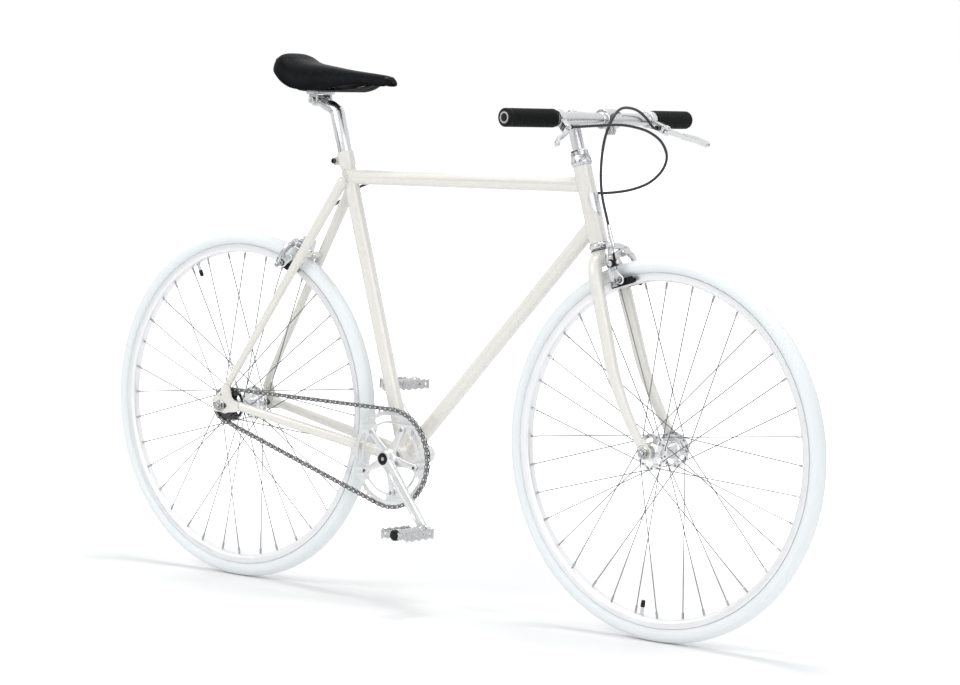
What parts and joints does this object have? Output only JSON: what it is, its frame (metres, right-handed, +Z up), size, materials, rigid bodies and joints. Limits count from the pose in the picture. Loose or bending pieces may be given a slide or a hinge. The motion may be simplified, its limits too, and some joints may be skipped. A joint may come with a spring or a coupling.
{
  "type": "single-speed bicycle",
  "caption": "Single-speed bicycle with a diamond frame, level top tube, curved fork, swept flat bar, side-pull rim brakes, open chain and spoked wheels with white tyres.",
  "frame": {"origin": "on the ground under the middle of the wheelbase, in the bicycle's middle plane", "axes": "+X forward, +Y to the rider's left, +Z up; the chain is on the -Y side"},
  "size_m": [1.7172, 0.5388, 1.0404],
  "materials": {
    "cream_paint": "glossy off-white paint",
    "chrome": "polished chrome plate",
    "polished_alloy": "polished",
    "spoke_steel": "drawn stainless wire",
    "chain_steel": "dark oiled steel",
    "white_tyre": "matte bluish white rubber",
    "black_rubber": "matte",
    "black_leather": "smooth, slightly worn",
    "cable_housing": "satin dark grey"
  },
  "bodies": {
    "frame": {"head_tube": "cream_paint", "top_tube": "cream_paint", "down_tube": "cream_paint", "seat_tube": "cream_paint", "bottom_bracket_shell": "cream_paint", "chain_stay_left": "cream_paint", "chain_stay_right": "cream_paint", "seat_stay_left": "cream_paint", "seat_stay_right": "cream_paint", "brake_bridge": "cream_paint", "headset_lower_cup": "chrome", "headset_upper_cup": "chrome", "rear_axle": "chrome", "chain": "chain_steel", "rear_brake_cable": "cable_housing", "rear_brake_mount": "polished_alloy"},
    "rear_wheel": {"rear_tyre": "white_tyre", "rear_rim": "polished_alloy", "rear_hub": "polished_alloy", "rear_spokes_left": "spoke_steel", "rear_spokes_right": "spoke_steel"},
    "freewheel": {"freewheel": "chrome"},
    "crankset": {"chainring": "polished_alloy", "crank_arm_left": "polished_alloy", "crank_arm_right": "polished_alloy", "crank_spindle": "chrome"},
    "pedal_left": {"pedal_left": "polished_alloy"},
    "pedal_right": {"pedal_right": "polished_alloy"},
    "fork": {"fork_steerer": "cream_paint", "fork_blade_left": "cream_paint", "fork_blade_right": "cream_paint", "headset_locknut": "chrome", "stem": "polished_alloy", "handlebar": "polished_alloy", "grip_left": "black_rubber", "grip_right": "black_rubber", "lever_bracket_left": "polished_alloy", "lever_bracket_right": "polished_alloy", "front_axle": "chrome", "front_brake_cable": "cable_housing", "rear_brake_cable_front": "cable_housing", "front_brake_mount": "polished_alloy"},
    "front_wheel": {"front_tyre": "white_tyre", "front_rim": "polished_alloy", "front_hub": "polished_alloy", "front_spokes_left": "spoke_steel", "front_spokes_right": "spoke_steel"},
    "lever_left": {"brake_lever_left": "polished_alloy"},
    "lever_right": {"brake_lever_right": "polished_alloy"},
    "front_arm_left": {"front_caliper_arm_left": "polished_alloy", "front_pad_left": "black_rubber"},
    "front_arm_right": {"front_caliper_arm_right": "polished_alloy", "front_pad_right": "black_rubber"},
    "rear_arm_right": {"rear_caliper_arm_right": "polished_alloy", "rear_pad_right": "black_rubber"},
    "rear_arm_left": {"rear_caliper_arm_left": "polished_alloy", "rear_pad_left": "black_rubber"},
    "post": {"seatpost": "polished_alloy"},
    "saddle": {"saddle_rails": "chrome", "saddle_cover": "black_leather"}
  },
  "joints": [
    {"name": "steering", "type": "hinge", "parent": "frame", "child": "fork", "pos_m": [0.4745, 0, 0.33036], "axis": [-0.294, 0, 0.9558], "range_deg": [-75, 75], "deforming": ["rear_brake_cable_front"]},
    {"name": "front_wheel_spin", "type": "hinge", "parent": "fork", "child": "front_wheel", "pos_m": [0.5156, 0, 0.343], "axis": [0, 1, 0], "continuous": true},
    {"name": "rear_wheel_spin", "type": "hinge", "parent": "frame", "child": "rear_wheel", "pos_m": [-0.5156, 0, 0.343], "axis": [0, 1, 0], "continuous": true},
    {"name": "crank_spin", "type": "hinge", "parent": "frame", "child": "crankset", "pos_m": [-0.08674, 0, 0.277], "axis": [0, 1, 0], "continuous": true, "deforming": ["chain"]},
    {"name": "freewheel_spin", "type": "hinge", "parent": "frame", "child": "freewheel", "pos_m": [-0.5156, 0, 0.343], "axis": [0, 1, 0], "continuous": true},
    {"name": "pedal_left_spin", "type": "hinge", "parent": "crankset", "child": "pedal_left", "pos_m": [-0.20376, 0.126, 0.40031], "axis": [0, 1, 0], "continuous": true},
    {"name": "pedal_right_spin", "type": "hinge", "parent": "crankset", "child": "pedal_right", "pos_m": [0.03028, -0.126, 0.15369], "axis": [0, 1, 0], "continuous": true},
    {"name": "brake_lever_left_pull", "type": "hinge", "parent": "fork", "child": "lever_left", "pos_m": [0.39411, 0.1483, 0.909], "axis": [0.521, 0, 0.8536], "range_deg": [0, 25], "stiffness_Nm_per_rad": 0.8, "springref_deg": -11.46},
    {"name": "brake_lever_right_pull", "type": "hinge", "parent": "fork", "child": "lever_right", "pos_m": [0.39411, -0.1483, 0.909], "axis": [-0.521, 0, -0.8536], "range_deg": [0, 25], "stiffness_Nm_per_rad": 0.8, "springref_deg": -11.46},
    {"name": "front_arm_left_close", "type": "hinge", "parent": "fork", "child": "front_arm_left", "pos_m": [0.36818, 0, 0.67597], "axis": [-0.9558, 0, -0.294], "range_deg": [0, 1.9]},
    {"name": "front_arm_right_close", "type": "hinge", "parent": "fork", "child": "front_arm_right", "pos_m": [0.36582, 0.022, 0.68362], "axis": [0.9558, 0, 0.294], "range_deg": [0, 1.65]},
    {"name": "rear_arm_right_close", "type": "hinge", "parent": "frame", "child": "rear_arm_right", "pos_m": [-0.34008, 0, 0.64754], "axis": [0.8486, 0, -0.529], "range_deg": [0, 2.1]},
    {"name": "rear_arm_left_close", "type": "hinge", "parent": "frame", "child": "rear_arm_left", "pos_m": [-0.33585, -0.022, 0.65433], "axis": [-0.8486, 0, 0.529], "range_deg": [0, 1.85]},
    {"name": "seatpost_height", "type": "slide", "parent": "frame", "child": "post", "axis": [-0.2874, 0, 0.9578], "range_m": [-0.06, 0.03]},
    {"name": "saddle_tilt", "type": "hinge", "parent": "post", "child": "saddle", "pos_m": [-0.3256, 0, 0.947], "axis": [0, 1, 0], "range_deg": [-8, 8]}
  ],
  "couplings": [
    {"joint": "freewheel_spin", "follows": "crank_spin", "ratio": 2.875},
    {"joint": "front_arm_left_close", "follows": "brake_lever_left_pull", "ratio": 0.074},
    {"joint": "front_arm_right_close", "follows": "brake_lever_left_pull", "ratio": 0.064},
    {"joint": "rear_arm_right_close", "follows": "brake_lever_right_pull", "ratio": 0.082},
    {"joint": "rear_arm_left_close", "follows": "brake_lever_right_pull", "ratio": 0.072}
  ]
}
